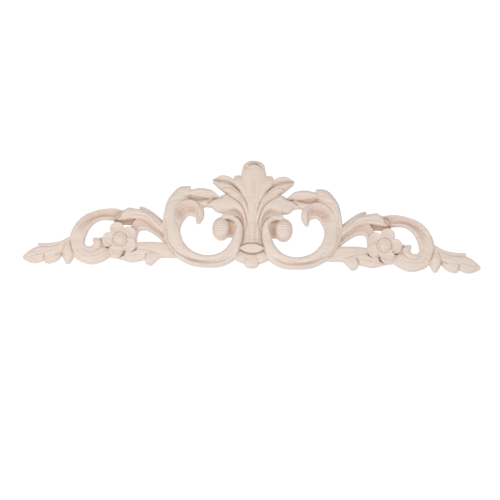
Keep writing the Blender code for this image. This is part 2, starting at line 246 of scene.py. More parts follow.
carve_strip("curl_hook", SCROLL_RISE, [
    (-51.0, 10.8, -51.5, 6.5, 0.84),
    (-43.6, 5.6, -47.6, 3.6, 0.92),
    (-42.6, -2.6, -47.0, -2.2, 0.88),
    (-45.4, -7.4, -48.2, -6.2, 0.78),
], [(0, HOOK_SIDE)], tip=1.6)
carve_strip("flap", SCROLL_RISE, [
    (-64.0, 15.0, -62.5, 9.6, 0.78),
    (-52.5, 20.8, -51.5, 9.4, 0.94),
    (-43.0, 21.9, -42.0, 8.8, 0.97),
    (-34.8, 19.6, -36.2, 11.2, 0.94),
    (-29.6, 15.2, -30.6, 13.6, 0.82),
], [(0, FLAP)], tip=0.6)
carve_strip("flap_web", SCROLL_RISE, [
    (-51.0, 10.0, -47.0, 5.6, 0.76),
    (-44.0, 11.0, -41.2, 7.0, 0.76),
    (-36.0, 14.0, -36.2, 6.6, 0.66),
], [(0, RIDGED)])
# The moulding's groove and the crease where the branch leaves the scroll.
cut_line(0.95, 1.4, [
    (-73.6, -8), (-73.9, -20), (-72.8, -26.5), (-69.1, -32.5), (-64.1, -37.2), (-58.5, -40.2),
    (-53.6, -42.1), (-45.9, -43.4), (-37.2, -43.4), (-29.6, -42.0), (-22.6, -38.8), (-17, -34),
])
cut_line(1.05, 1.5, [
    (-75.3, -6.5), (-76.0, -17.7), (-75.2, -25.4), (-72.2, -31.3), (-67.2, -37.2), (-62.6, -40.9),
])
cut_line(-0.4, 1.3, [
    (-60, -42.2), (-49.5, -45.4), (-38.8, -46.4), (-29.5, -45.4), (-22.5, -42.8), (-16.5, -38.2),
])
# The turned edge of the leaf: a soft hollow behind the curl that runs on under the flap.
cut_line(0.8, 3.2, [(-71, 9.5), (-66.5, 11.3), (-62, 12.4), (-57.5, 14.2), (-53, 14.6)])
cut_line(0.9, 1.6, [(-60, 12.6), (-55.5, 14.7), (-47.2, 13.7), (-40.1, 12.6), (-35.8, 12.9)])
cut_line(1.7, 1.7, [(-40.6, 7.8), (-37.6, 10.3), (-34.4, 12.5), (-30.8, 13.5), (-27.0, 13.8)])
# The curl: a rim round a spoon-shaped hollow that still shows the sweeps of the gouge.
cut_line(-0.3, 1.8, [
    (-69.0, -6.0), (-68.3, 1.5), (-64.6, 6.3), (-59.5, 8.9), (-54.6, 9.8), (-50.0, 8.4), (-47.2, 5.2),
    (-45.9, 1),
])
cut_line(0.7, 1.3, [
    (-66.2, -1.0), (-65.4, 3.0), (-61.5, 6.2), (-56.5, 7.6), (-52.0, 7.0), (-49.0, 4.6), (-47.7, 1.0),
    (-48.2, -3),
])
CURL_EYE = (-55.0, -1.0)
GOUGE_SWEEPS = 3
FIRST_SWEEP = 0.24
SWEEP_GAP = 0.21
widest_sweep = [(-67.5, -4.0), (-65.4, 3.0), (-61.5, 6.2), (-56.5, 7.6), (-52.0, 7.0), (-48.6, 4.0)]
for sweep in range(GOUGE_SWEEPS):
    inwards = FIRST_SWEEP + SWEEP_GAP * sweep
    cut_line(0.65, 1.3, [
        (x + (CURL_EYE[0] - x) * inwards, z + (CURL_EYE[1] - z) * inwards) for x, z in widest_sweep
    ])

# Volutes: a carved ball in the eye of each great scroll, with a deep crescent hollow beside it.
# The tail of the band laps over the top of the ball, which keeps the marks of the chisel that rounded it.
CRESCENT_RISE = 9.0
BALL_CENTRE = (-27.2, -12.8)
BALL_RADII = (7.9, 9.9)
BALL = [
    (1.0, 0.34), (0.985, 0.47), (0.95, 0.59), (0.87, 0.72), (0.74, 0.85), (0.54, 0.96), (0.28, 1.03),
    (0, 1.05),
]
CRESCENT = [(0, 1.0), (0.22, 0.94), (0.4, 0.81), (0.6, 0.69), (0.82, 0.61), (1, 0.58)]
BALL_MARKS = 6
FIRST_MARK = 5.8
MARK_GAP = 2.3
MARKED_RADIUS = 8.0
MARK_MARGIN = 1.8
carve_boss("volute_ball", SCROLL_RISE, BALL_CENTRE, BALL_RADII, BALL)
carve_strip("volute_hollow", CRESCENT_RISE, [
    (-27.0, -3.4, -26.0, -8.5, 1.0),
    (-18.0, -3.4, -22.0, -9.0, 1.0),
    (-12.6, -11.0, -21.0, -13.0, 1.0),
    (-14.0, -17.4, -21.4, -16.8, 1.0),
    (-17.0, -19.7, -24.4, -20.2, 0.9),
], [(0, CRESCENT)])
cut_line(-0.4, 1.6, [
    (-25, -5.2), (-20.2, -5.2), (-16.2, -8.6), (-14.2, -14.2), (-14.3, -19.0), (-17.5, -23.5),
])
for mark in range(BALL_MARKS):
    at = BALL_CENTRE[1] + FIRST_MARK - MARK_GAP * mark
    reach = math.sqrt(MARKED_RADIUS**2 - (at - BALL_CENTRE[1]) ** 2) - MARK_MARGIN
    start = (BALL_CENTRE[0] - reach, at + 0.4)
    middle = (BALL_CENTRE[0] - 0.4, at)
    end = (BALL_CENTRE[0] + 0.7 * reach, at + 0.5)
    cut_line(0.6, 1.5, [start, middle, end])
cut_line(2.0, 1.7, [(-24.6, -6.3), (-22.6, -5.9), (-19.8, -5.9), (-17.2, -7.0), (-15.6, -8.8)])
cut_line(0.9, 3.0, [(-19.9, -11.0), (-19.4, -14.0), (-19.2, -16.8), (-19.8, -21.0)])

# Palmette, stem and collar: the middle of the crest.
# A tall lobe with a vein, and on each side an ear, a curled leaf and a low leaf, are drawn in to a fluted
# stem that a pointed collar binds. They are carved from the thickest part of the board.
LEAF_RISE = 11.5
FINIAL_RISE = 13.5
BROAD = [
    (0, 0.82), (0.06, 0.9), (0.16, 0.96), (0.35, 1.0), (0.65, 1.0), (0.84, 0.96), (0.94, 0.9),
    (1, 0.82),
]
CROWNED = [
    (0, 0.72), (0.06, 0.82), (0.16, 0.91), (0.3, 0.97), (0.5, 1.0), (0.7, 0.97), (0.84, 0.91),
    (0.94, 0.82), (1, 0.72),
]
FLUTED = [
    (0, 0.8), (0.1, 0.88), (0.2, 0.91), (0.3, 0.93), (0.4, 0.98), (0.5, 1.0), (0.6, 0.98), (0.7, 0.93),
    (0.8, 0.91), (0.9, 0.88), (1, 0.8),
]
RISING = [(0, 0.6), (0.15, 0.66), (0.4, 0.76), (0.7, 0.9), (1, 0.98)]
CUPPED = [
    (0, 0.84), (0.1, 0.97), (0.2, 0.99), (0.38, 0.88), (0.58, 0.79), (0.78, 0.79), (0.92, 0.88),
    (1, 0.9),
]
COLLAR = [(1.0, 0.68), (0.98, 0.8), (0.9, 0.86), (0.5, 0.89), (0, 0.91)]
STEM_STRIPES = 9
FIRST_STRIPE = -6.4
STRIPE_GAP = 2.0
STRIPE_REACH = 4.2
STRIPE_DROOP = 0.5
# The stem and the lobe above it, as height, half width and share of the rise.
stem = [
    (-31.0, 9.6, 0.72), (-18.0, 7.6, 0.74), (-6.0, 5.6, 0.78), (6.0, 5.4, 0.87), (19.0, 8.2, 0.95),
    (31.0, 11.2, 1.0), (36.0, 10.8, 1.0), (41.0, 9.8, 0.98),
]
carve_strip("stem_and_lobe", FINIAL_RISE, [(-half, z, half, z, share) for z, half, share in stem],
            [(0, FLUTED), (0.35, FLUTED), (0.55, BROAD), (0.75, CROWNED), (1, CROWNED)], sides=(1,), tip=6.9)
carve_strip("ear", LEAF_RISE, [
    (-5.0, 6.0, -1.5, 8.0, 0.9),
    (-12.0, 20.0, -4.5, 23.5, 1.04),
    (-17.8, 29.4, -8.5, 31.6, 1.0),
    (-16.8, 34.0, -12.0, 34.4, 0.84),
], [(0, BROAD)])
carve_strip("turned_edge", LEAF_RISE, [
    (-9.5, 20.5, -8.5, 15.5, 0.8),
    (-15.5, 28.6, -14.0, 20.5, 0.94),
    (-21.5, 33.0, -20.5, 24.5, 0.97),
    (-28.5, 34.0, -27.5, 26.8, 0.92),
    (-35.7, 30.6, -35.0, 29.0, 0.74),
], [(0, CUPPED)])
carve_strip("curled_leaf", LEAF_RISE, [
    (-2.2, -10.0, -4.8, -12.0, 0.78),
    (-4.2, 5.4, -7.4, 2.4, 0.94),
    (-11.0, 17.8, -13.4, 11.4, 1.04),
    (-21.0, 26.0, -21.8, 18.0, 1.06),
    (-30.2, 28.4, -29.2, 23.4, 0.96),
    (-35.6, 29.4, -34.9, 28.4, 0.76),
], [(0, BROAD)])
carve_strip("low_leaf", LEAF_RISE, [
    (-3.8, -10.0, -7.6, -13.0, 0.72),
    (-6.6, 4.8, -9.6, -1.0, 0.84),
    (-15.0, 14.6, -15.4, 4.4, 0.92),
    (-24.0, 17.6, -24.0, 2.4, 0.9),
    (-31.0, 14.2, -31.2, 2.6, 0.8),
    (-37.5, 11.5, -36.6, 7.2, 0.7),
], [(0, BROAD)])
carve_strip("arched_leaf", LEAF_RISE, [
    (-26.6, 3.6, -26.6, -3.0, 0.9),
    (-18.6, 5.2, -19.0, -2.6, 0.92),
    (-12.6, 2.6, -13.6, -5.6, 0.92),
    (-8.6, -3.4, -10.0, -11.0, 0.9),
    (-6.2, -12.0, -9.2, -18.0, 0.86),
    (-6.4, -27.0, -10.8, -27.0, 0.84),
], [(0, RISING)])
carve_boss("collar", FINIAL_RISE, (0, -30.9), (10.7, 4.2), COLLAR, pointed=1.45, sides=(1,))
# The vein of the tall lobe, and the fine lines that draw in to the stem.
cut_line(-0.3, 1.3, [(0, 12), (0, 33)], sides=(1,))
cut_line(0.6, 1.5, [(-1.4, 13), (-1.3, 22), (-1.2, 31)])
cut_line(0.25, 1.4, [(-3.4, 21), (-1.9, 14), (-0.7, 7)])
cut_line(0.25, 1.4, [(-6.2, 22), (-4.4, 15), (-2.6, 6), (-1.9, -2)])
cut_line(1.6, 2.8, [
    (-7.6, 38.4), (-6.9, 40.8), (-4.6, 43.4), (0, 44.7), (4.6, 43.4), (6.9, 40.8), (7.6, 38.4),
], sides=(1,))
cut_line(1.2, 2.6, [(-4.6, 43.6), (0, 44.7), (4.6, 43.6)], sides=(1,))
# Creases between the leaves, cut with a parting tool.
cut_line(0.5, 2.0, [(-33.2, 29.6), (-29.5, 29.6), (-25.4, 29.2), (-21.2, 27.8), (-17.0, 24.8)])
cut_line(0.8, 1.3, [
    (-22, 28.4), (-17.2, 25.0), (-12.1, 20.4), (-8.8, 15.6), (-6.0, 9.6), (-4.2, 3.5), (-3.2, -3),
])
cut_line(-0.4, 1.3, [(-34.2, 27.9), (-31.6, 26.9), (-28.6, 25.2), (-25.6, 24.4), (-21.0, 24.8)])
cut_line(0.9, 1.6, [
    (-27.2, 23.4), (-24.0, 23.0), (-20.6, 22.4), (-16.6, 20.4), (-12.0, 16.2), (-8.6, 11.0),
])
cut_line(0.7, 1.2, [(-21.5, 20.2), (-17.4, 17.6), (-13.2, 13.8), (-9.6, 9.4), (-7.4, 5.4)])
cut_line(1.6, 2.2, [(-27.6, 22.8), (-26.2, 22.7), (-24.8, 22.9)])
cut_line(1.3, 1.3, [
    (-25.4, 20.2), (-23.7, 18.2), (-20.6, 15.4), (-15.0, 11.9), (-10.0, 7.2), (-7.4, 2.0), (-5.6, -4.0),
    (-4.3, -10.0), (-3.9, -15),
])
cut_line(1.0, 1.4, [(-28.6, 16.2), (-27.0, 15.0), (-26.2, 14.0)])
cut_line(0.8, 1.5, [(-26.2, 5.0), (-26.2, 0.6)])
cut_line(2.2, 2.0, [(-16.2, -2.6), (-13.6, -3.6), (-11.2, -5.6), (-9.3, -9.2), (-8.6, -12.6)])
cut_line(1.2, 1.4, [(-8.8, -10), (-8.0, -16), (-8.2, -22), (-9.8, -28), (-11.2, -33), (-13.6, -38.6)])
cut_line(0.6, 1.3, [(-5.9, -6.5), (-6.4, -14), (-6.4, -25)])
cut_line(0.5, 1.3, [(-3.4, -9), (-2.7, -15), (-2.6, -25)])
for stripe in range(STEM_STRIPES):
    crest = FIRST_STRIPE - STRIPE_GAP * stripe
    ends = crest - STRIPE_DROOP
    cut_line(0.45, 1.1, [(-STRIPE_REACH, ends), (0, crest), (STRIPE_REACH, ends)], sides=(1,))
cut_line(1.5, 1.5, [(-11.6, -30.6), (-6.0, -27.8), (0, -26.7), (6.0, -27.8), (11.6, -30.6)], sides=(1,))
cut_line(1.9, 2.0, [(-12.0, -31.0), (-6.4, -34.4), (0, -35.7), (6.4, -34.4), (12.0, -31.0)], sides=(1,))

# Pendant: the small shell of three lobes below the collar.
# It is carved with the rest, lower than the stem, with a shallow valley each side of its middle lobe.
# The middle lobe is given as height, half width and share of the rise, like the stem.
shell = [(-31.0, 4.5, 0.7), (-38.0, 6.2, 0.76), (-41.2, 6.9, 0.8), (-43.6, 6.4, 0.77)]
carve_strip("shell_middle", LEAF_RISE, [(-half, z, half, z, share) for z, half, share in shell],
            [(0, BROAD)], sides=(1,), tip=3.6)
carve_strip("shell_side", LEAF_RISE, [
    (-2.0, -31.0, -8.6, -31.0, 0.7),
    (-2.4, -38.0, -14.4, -35.6, 0.76),
    (-3.6, -41.4, -15.2, -38.9, 0.76),
    (-6.0, -42.8, -13.2, -40.4, 0.7),
], [(0, BROAD)], tip=0.6)
cut_line(0.6, 1.6, [(-4.6, -38), (-5.8, -41.5), (-6.6, -44.6)])

# Branches: an acanthus branch joins each great scroll to the small one outside it.
# Two leaves arch over a three-cornered opening, and the stem below it drops a rounded lobe. The wood between
# the leaves and the flower is cut far down.
BRANCH_RISE = 10.0
RECESS_RISE = 4.0
LEVEL = [(0, 0.97), (0.5, 1.0), (1, 0.97)]
LEAF = [(0, 0.7), (0.12, 0.86), (0.3, 0.97), (0.5, 1.0), (0.7, 0.98), (0.88, 0.88), (1, 0.7)]
RIBBED = [
    (0, 0.78), (0.08, 0.9), (0.2, 0.96), (0.36, 1.0), (0.52, 0.97), (0.66, 0.98), (0.8, 1.0),
    (0.92, 0.97), (1, 0.88),
]
FLAT = [(0, 0.87), (0.05, 0.95), (0.12, 0.985), (0.45, 1.0), (0.72, 0.97), (0.9, 0.9), (1, 0.78)]
ROOTED = [(0, 0.84), (0.15, 0.96), (0.5, 1.0), (0.8, 1.0), (0.93, 0.96), (1, 0.86)]
DISHED = [(0, 0.72), (0.12, 0.72), (0.3, 0.72), (0.5, 0.77), (0.72, 0.88), (0.88, 0.97), (1, 0.9)]
carve_strip("branch_leaf", BRANCH_RISE, [
    (-75.0, -14.0, -74.0, -23.0, 0.9),
    (-83.5, -4.9, -84.0, -13.4, 1.0),
    (-93.0, 1.2, -93.0, -7.4, 1.0),
    (-102.0, 2.4, -101.2, -6.0, 1.0),
    (-109.4, 3.0, -108.4, -7.0, 1.02),
    (-114.6, -0.4, -113.2, -7.8, 0.96),
    (-118.8, -5.0, -117.8, -8.2, 0.84),
], [(0, RIBBED)])
carve_strip("branch_spur", BRANCH_RISE, [
    (-77.0, -8.1, -78.4, -12.0, 0.72),
    (-86.3, -0.5, -87.5, -5.0, 0.82),
    (-94.5, 4.3, -95.0, 0.0, 0.78),
    (-98.9, 5.6, -98.8, 1.0, 0.7),
], [(0, LEAF)])
carve_strip("branch_underleaf", BRANCH_RISE, [
    (-73.5, -19.5, -72.5, -29.5, 0.74),
    (-83.0, -12.5, -83.4, -20.2, 0.78),
    (-93.0, -6.4, -93.0, -15.2, 0.8),
    (-100.5, -5.6, -98.0, -15.9, 0.84),
    (-105.4, -12.0, -99.8, -20.2, 0.86),
    (-106.0, -29.0, -99.8, -30.0, 0.84),
], [(0, DISHED), (0.66, DISHED), (0.85, LEVEL), (1, LEVEL)])
carve_strip("lower_stem", BRANCH_RISE, [
    (-68.0, -27.2, -62.5, -39.6, 0.84),
    (-79.0, -27.2, -78.6, -39.6, 0.86),
    (-92.5, -27.0, -94.4, -42.2, 0.84),
    (-104.0, -28.4, -104.6, -44.2, 0.8),
    (-115.0, -29.6, -115.6, -41.6, 0.72),
    (-127.5, -31.0, -126.5, -39.8, 0.64),
], [(0, FLAT)])
carve_strip("drooping_lobe", BRANCH_RISE, [
    (-74.0, -37.0, -79.0, -31.5, 0.72),
    (-81.0, -41.0, -88.0, -34.5, 0.86),
    (-84.4, -44.4, -93.3, -40.0, 0.9),
    (-85.9, -45.8, -92.6, -43.8, 0.84),
], [(0, ROOTED)], tip=1.9)
carve_strip("branch_recess", RECESS_RISE, [
    (-102.0, -4.0, -102.6, -11.0, 0.7),
    (-112.0, -3.0, -112.6, -10.6, 0.7),
    (-121.4, -2.0, -120.6, -12.6, 1.0),
], [(0, LEVEL)])
cut_line(1.1, 1.5, [(-99.4, 0.4), (-94, -0.4), (-89.6, -3.0), (-84.4, -7.8), (-79.5, -13.2)])
cut_line(0.6, 1.5, [
    (-108, -3.6), (-103, -3.2), (-98, -3.4), (-92.6, -5.2), (-86.4, -10.0), (-81, -15.4), (-77, -20),
])
cut_line(2.2, 1.9, [
    (-109.0, 3.6), (-112.2, 0.8), (-114.2, -1.6), (-115.4, -4.0), (-117.4, -6.3), (-121.6, -7.3),
])
cut_line(0.5, 1.5, [
    (-102.4, -6.8), (-98.4, -6.4), (-94.4, -7.6), (-89.4, -11.6), (-84.6, -16.4), (-79.4, -22.4),
])
cut_line(0.7, 1.5, [
    (-109.4, -35.6), (-103.4, -34.4), (-96.4, -33.4), (-89.4, -34.4), (-81.8, -37.2), (-75, -38),
])
cut_line(0.5, 1.4, [(-107, -39), (-101.4, -38.6), (-95.4, -37.6)])
cut_line(1.8, 1.8, [(-90.8, -36.4), (-92.3, -39.6), (-92.9, -43.2), (-92.6, -46.4)])
cut_line(0.6, 2.0, [(-87.4, -36.2), (-86.4, -36.3), (-85.4, -36.6)])

# Flowers: one on each branch, five cupped petals round an eye with a beaded ring.
# The petals overlap a little at their roots, with pits between them, and short cuts part the beads.
FLOWER_RISE = 12.0
FLOWER_CENTRE = (-115.0, -25.7)
BED_RADIUS = 8.6
PETAL_DIRECTIONS = (107, 32, -31, -106, 183)
PETAL_REACH = 9.8
PETAL_RADII = (5.6, 6.3)
EYE_RADIUS = 6.2
BEADS = 20
PIT_SHARES = (0.8, 0.94, 1.1)
RING_SHARE = 1.05
RING_STEP = 20
BED = [(1.0, 0.7), (0.5, 0.76), (0, 0.8)]
PETAL = [
    (1.0, 0.78), (0.99, 0.88), (0.955, 0.93), (0.87, 0.93), (0.66, 0.885), (0.35, 0.855), (0, 0.85),
]
EYE = [
    (1.0, 0.8), (0.985, 0.91), (0.92, 0.97), (0.82, 0.97), (0.74, 0.92), (0.67, 0.92), (0.58, 0.97),
    (0.3, 1.01), (0, 1.02),
]


def from_flower_centre(radius, angle):
    """The point at this radius and angle round the centre of the flower."""
    return (FLOWER_CENTRE[0] + radius * math.cos(angle), FLOWER_CENTRE[1] + radius * math.sin(angle))


carve_boss("petal_bed", FLOWER_RISE, FLOWER_CENTRE, (BED_RADIUS, BED_RADIUS), BED)
for number, degrees in enumerate(PETAL_DIRECTIONS):
    turn = math.radians(degrees)
    petal_middle = from_flower_centre(PETAL_REACH, turn)
    carve_boss(f"petal_{number}", FLOWER_RISE, petal_middle, PETAL_RADII, PETAL, turn=turn)
carve_boss("flower_eye", FLOWER_RISE, FLOWER_CENTRE, (EYE_RADIUS, EYE_RADIUS), EYE)
for bead in range(BEADS):
    angle = 2 * math.pi * (bead + 0.5) / BEADS
    cut_line(0.8, 1.1, [from_flower_centre(EYE_RADIUS * share, angle) for share in PIT_SHARES])
cut_line(0.5, 1.2, [
    from_flower_centre(RING_SHARE * EYE_RADIUS, math.radians(90 - degrees))
    for degrees in range(0, 360 + RING_STEP, RING_STEP)
])
cut_line(2.5, 2.0, [(-121.6, -31.0), (-123.4, -31.9), (-125.2, -32.6), (-127.6, -32.6)])
cut_line(2.5, 2.6, [(-110.4, -33.2), (-110.9, -35.6), (-111.6, -38.2), (-112.6, -40.0)])
cut_line(2.0, 1.7, [(-111.6, -35.2), (-108.0, -36.0), (-104.2, -35.8), (-101.0, -33.6), (-99.6, -31.0)])
cut_line(2.4, 1.6, [(-112.0, -34.8), (-112.4, -37.6), (-114.0, -40.4), (-117.0, -41.6)])

# Small scrolls: a plain hollow band that winds from under the branch leaf to a hook beside the flower.
# The top of the band is scooped along its length. The lower part is left nearly flat, with a few fine lines.
COVE = [
    (0, 0.82), (0.05, 0.93), (0.1, 0.95), (0.18, 0.77), (0.28, 0.58), (0.42, 0.5), (0.58, 0.52),
    (0.76, 0.68), (0.92, 0.86), (1, 0.8),
]
SHALLOW = [
    (0, 0.78), (0.06, 0.9), (0.14, 0.96), (0.3, 0.92), (0.5, 0.88), (0.7, 0.92), (0.88, 0.97),
    (1, 0.84),
]
carve_strip("small_scroll", BRANCH_RISE, [
    (-110.0, 0.4, -110.0, -6.0, 0.62),
    (-119.0, 2.2, -119.0, -7.2, 0.84),
    (-132.5, 1.0, -130.5, -6.9, 0.95),
    (-146.2, -4.4, -138.8, -11.2, 1.0),
    (-155.4, -14.9, -144.2, -19.9, 1.0),
    (-158.6, -28.0, -145.7, -28.7, 1.0),
    (-152.8, -41.9, -143.0, -33.4, 1.0),
    (-140.4, -46.8, -138.4, -33.4, 1.0),
    (-130.0, -44.4, -132.6, -32.2, 0.9),
    (-121.0, -38.4, -126.0, -31.0, 0.72),
], [(0, COVE), (0.36, COVE), (0.52, SHALLOW), (0.72, BROAD), (1, BROAD)])
carve_strip("small_hook", BRANCH_RISE, [
    (-150.0, -30.0, -145.7, -28.8, 0.9),
    (-148.2, -34.6, -144.6, -31.4, 0.98),
    (-142.4, -38.0, -142.2, -32.7, 1.04),
    (-136.0, -37.0, -139.3, -32.1, 1.06),
    (-132.0, -32.6, -137.7, -29.9, 1.06),
    (-130.8, -28.0, -138.2, -27.6, 1.04),
    (-132.4, -25.8, -138.5, -26.6, 1.0),
], [(0, BROAD)], tip=2.1)
carve_strip("hook_web", BRANCH_RISE, [
    (-133.0, -24.0, -133.5, -36.0, 0.72),
    (-120.0, -23.4, -120.0, -36.0, 0.66),
], [(0, LEVEL)])
cut_line(0.7, 1.5, [
    (-152.4, -19.6), (-149.4, -13.6), (-145.4, -9.8), (-139.4, -6.4), (-131.4, -3.8), (-122, -3.0),
])
cut_line(0.4, 1.3, [(-149.6, -18.2), (-146.8, -13.4), (-141.4, -9.4), (-134.4, -6.4)])
cut_line(0.4, 1.6, [
    (-153.4, -33.0), (-149.4, -38.4), (-143.5, -41.0), (-137.5, -40.4), (-132.6, -38.2),
    (-128.0, -35.0),
])
cut_line(0.35, 1.6, [
    (-154.8, -37.0), (-149.6, -41.8), (-143.0, -44.0), (-136.6, -43.6), (-131.0, -41.2),
    (-127.0, -38.6),
])
cut_line(0.7, 1.4, [
    (-147.2, -33.6), (-143.4, -36.9), (-138.6, -37.2), (-133.8, -35.0), (-131.4, -31.4),
])
cut_line(1.3, 2.0, [(-136.4, -25.2), (-134.8, -24.7), (-133.2, -25.0)])

# End leaves: the lobed leaf that finishes each arm, thinned towards its tip.
# The lobes are parted by short deep cuts from the lower edge.
END_RISE = 8.5
carve_strip("end_blade", END_RISE, [
    (-154.0, -23.6, -154.0, -36.0, 0.96),
    (-165.0, -28.6, -166.0, -39.2, 1.02),
    (-178.0, -32.2, -178.0, -43.4, 0.96),
    (-186.6, -33.2, -187.4, -46.9, 0.9),
    (-195.0, -38.0, -194.6, -45.7, 0.76),
    (-198.2, -41.0, -197.8, -43.9, 0.64),
], [(0, BROAD)], tip=1.1)
carve_strip("end_spur", END_RISE, [
    (-156.0, -22.4, -156.6, -28.0, 0.92),
    (-170.0, -29.0, -170.4, -33.6, 0.94),
    (-179.0, -30.0, -179.0, -34.4, 0.86),
    (-186.2, -29.9, -186.2, -33.8, 0.74),
], [(0, BROAD)])
carve_strip("end_lobe", END_RISE, [
    (-167.5, -32.6, -163.4, -36.6, 0.9),
    (-174.0, -36.6, -166.8, -42.2, 0.98),
    (-180.4, -42.6, -171.8, -45.8, 0.92),
    (-180.0, -45.4, -174.0, -46.4, 0.84),
], [(0, LEAF)], tip=1.2)
carve_strip("end_drop", END_RISE, [
    (-162.6, -29.0, -156.8, -27.0, 0.94),
    (-165.0, -38.0, -155.0, -37.0, 1.1),
    (-163.8, -42.6, -155.2, -42.2, 1.0),
    (-162.2, -45.0, -157.0, -44.9, 0.88),
], [(0, LEAF)], tip=2.1)
cut_line(0.7, 1.3, [(-185.8, -33.0), (-179.6, -33.2), (-172.4, -32.6), (-165.0, -30.0)])
cut_line(0.6, 1.4, [(-195.4, -42.4), (-190.2, -40.9), (-184.6, -39.6), (-178.6, -37.6), (-172, -35.4)])
cut_line(0.35, 1.2, [(-191.6, -38.6), (-186.4, -37.4), (-181, -36)])
cut_line(0.35, 1.2, [(-193.4, -45.2), (-188.6, -44.6), (-184.4, -43.2)])
cut_line(1.8, 1.7, [(-179.8, -39.6), (-180.4, -42.6), (-180.4, -46.8)])
cut_line(1.4, 2.2, [(-170.6, -40.6), (-167.8, -38.8), (-165.4, -37.6)])
cut_line(2.2, 2.2, [(-165.0, -37.6), (-165.4, -40.4), (-166.0, -43.4)])
cut_line(1.1, 1.5, [(-160.9, -27.4), (-163.3, -32.6), (-164.7, -37.4), (-164.4, -42.0)])
cut_line(1.4, 1.7, [(-158.4, -25.6), (-157.6, -31.0), (-155.8, -36.4), (-153.4, -40.2)])

# The board: all the carving is one piece of pale bare rubberwood with a planed back.
# The strips are run together, their edges are eased as sanding leaves them, the fine cuts are made, and the
# back is planed flat.
VOXEL = 0.34
EASING = 0.5
EASING_PASSES = 2
CUT_IN_FRONT_OF = 1
CUT_FADE = 0.15
MOST_TRIANGLES = 190000
SLIVER = 0.001
CREASE_ANGLE = 50
bpy.ops.object.select_all(action="DESELECT")
for strip in carved_strips:
    strip.select_set(True)
bpy.context.view_layer.objects.active = carved_strips[0]
bpy.ops.object.join()
applique = bpy.context.object
applique.name = "carved_applique_wood"
applique.data.name = "carved_applique_wood"
run_together = applique.modifiers.new("run_together", "REMESH")
run_together.mode = "VOXEL"
run_together.voxel_size = VOXEL * MM
run_together.adaptivity = 0.0
bpy.ops.object.modifier_apply(modifier=run_together.name)
ease = applique.modifiers.new("ease_arrises", "SMOOTH")
ease.factor = EASING
ease.iterations = EASING_PASSES
bpy.ops.object.modifier_apply(modifier=ease.name)


def mesh_points():
    """The points of the board's mesh, in millimetres."""
    points = np.empty(len(applique.data.vertices) * 3, np.float32)
    applique.data.vertices.foreach_get("co", points)
    return points.reshape(-1, 3) / MM


points = mesh_points()
for line, width, depth in tool_cuts:
    low, high = line.min(axis=0) - width, line.max(axis=0) + width
    x, z = points[:, 0], points[:, 2]
    in_reach = (x > low[0]) & (x < high[0]) & (z > low[1]) & (z < high[1])
    near = np.nonzero(in_reach & (points[:, 1] < -CUT_IN_FRONT_OF))[0]
    here = np.stack([x[near], z[near]], axis=1)
    nearest = np.full(len(near), np.inf)
    share = np.zeros(len(near))
    for k, (start, end) in enumerate(zip(line, line[1:])):
        along = end - start
        t = np.clip((here - start) @ along / (along @ along), 0, 1)
        away = np.linalg.norm(here - start - t[:, None] * along, axis=1)
        closer = away < nearest
        nearest[closer] = away[closer]
        share[closer] = (k + t[closer]) / (len(line) - 1)
    fade = np.clip(np.minimum(share, 1 - share) / CUT_FADE, 0, 1)
    points[near, 1] += depth * fade * np.clip(1 - (2 * nearest / width) ** 2, 0, 1)
points[:, 1] = np.minimum(points[:, 1], 0)
applique.data.vertices.foreach_set("co", (points * MM).reshape(-1))
applique.data.update()

# The height of the carving over a grid, to find its hollows and the walls that stand in them.
CELL = 0.5
HOLLOW_REACH = 9
WALL_REACH = 3
OPEN_BELOW = 0.5
NO_WOOD = 0.001
across = math.ceil((points[:, 0].max() - points[:, 0].min()) / CELL) + 1
up = math.ceil((points[:, 2].max() - points[:, 2].min()) / CELL) + 1
corner = points[:, [0, 2]].min(axis=0)
cell = np.floor((points[:, [0, 2]] - corner) / CELL).astype(int)
heights = np.zeros((across, up))
np.maximum.at(heights, (cell[:, 0], cell[:, 1]), -points[:, 1])


def blurred(grid):
    """The grid averaged over the cells round each one, twice each way."""
    span = 2 * HOLLOW_REACH + 1
    for axis in (0, 1):
        margins = [(0, 0), (0, 0)]
        margins[axis] = (HOLLOW_REACH + 1, HOLLOW_REACH)
        for _ in range(2):
            sums = np.cumsum(np.pad(grid, margins), axis=axis)
            grid = (np.roll(sums, -span, axis=axis) - sums) / span
            grid = grid[: heights.shape[0], : heights.shape[1]]
    return grid


wood_here = (heights > OPEN_BELOW).astype(float)
around = blurred(heights * wood_here) / np.maximum(blurred(wood_here), NO_WOOD)
depth_below = np.where(wood_here > 0, around - heights, 0)
lowest_near = heights
for axis in (0, 1):
    shifts = range(-WALL_REACH, WALL_REACH + 1)
    lowest_near = np.min([np.roll(lowest_near, shift, axis=axis) for shift in shifts], axis=0)

thin = applique.modifiers.new("thin_faces", "DECIMATE")
applique.data.calc_loop_triangles()
thin.ratio = min(1.0, MOST_TRIANGLES / len(applique.data.loop_triangles))
bpy.ops.object.modifier_apply(modifier=thin.name)
bpy.ops.object.mode_set(mode="EDIT")
bpy.ops.mesh.select_all(action="SELECT")
bpy.ops.mesh.dissolve_degenerate(threshold=SLIVER * MM)
bpy.ops.object.mode_set(mode="OBJECT")
bpy.ops.object.shade_smooth_by_angle(angle=math.radians(CREASE_ANGLE))

